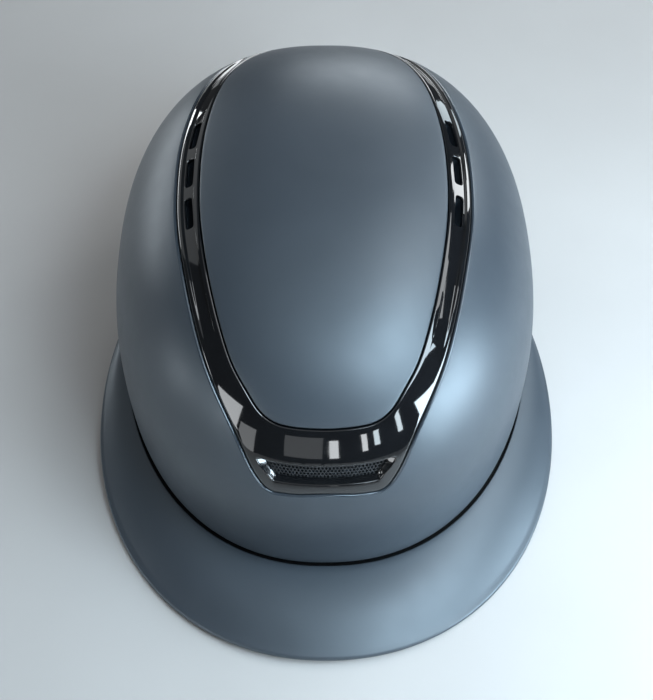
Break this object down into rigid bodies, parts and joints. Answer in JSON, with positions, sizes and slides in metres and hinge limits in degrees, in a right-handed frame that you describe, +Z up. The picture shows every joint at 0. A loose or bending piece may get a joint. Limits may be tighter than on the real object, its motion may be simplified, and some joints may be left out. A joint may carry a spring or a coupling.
{
  "type": "riding helmet",
  "caption": "Riding helmet with a wide peak, a satin crown panel and a glossy black vent frame with air slots and a front grille.",
  "frame": {"origin": "on the surface that the helmet rests on, under the middle of its bounding box", "axes": "+Z up to the crown, +Y towards the back of the head, +X to the right of someone who looks at the front"},
  "size_m": [0.2436, 0.3269, 0.156],
  "materials": {
    "satin_paint": "satin",
    "gloss_black": "gloss",
    "dark_mesh": "satin"
  },
  "bodies": {
    "root": {"outer_shell": "satin_paint", "crown_panel": "satin_paint", "vent_frame": "gloss_black", "front_grille": "dark_mesh", "peak": "satin_paint"}
  },
  "joints": []
}
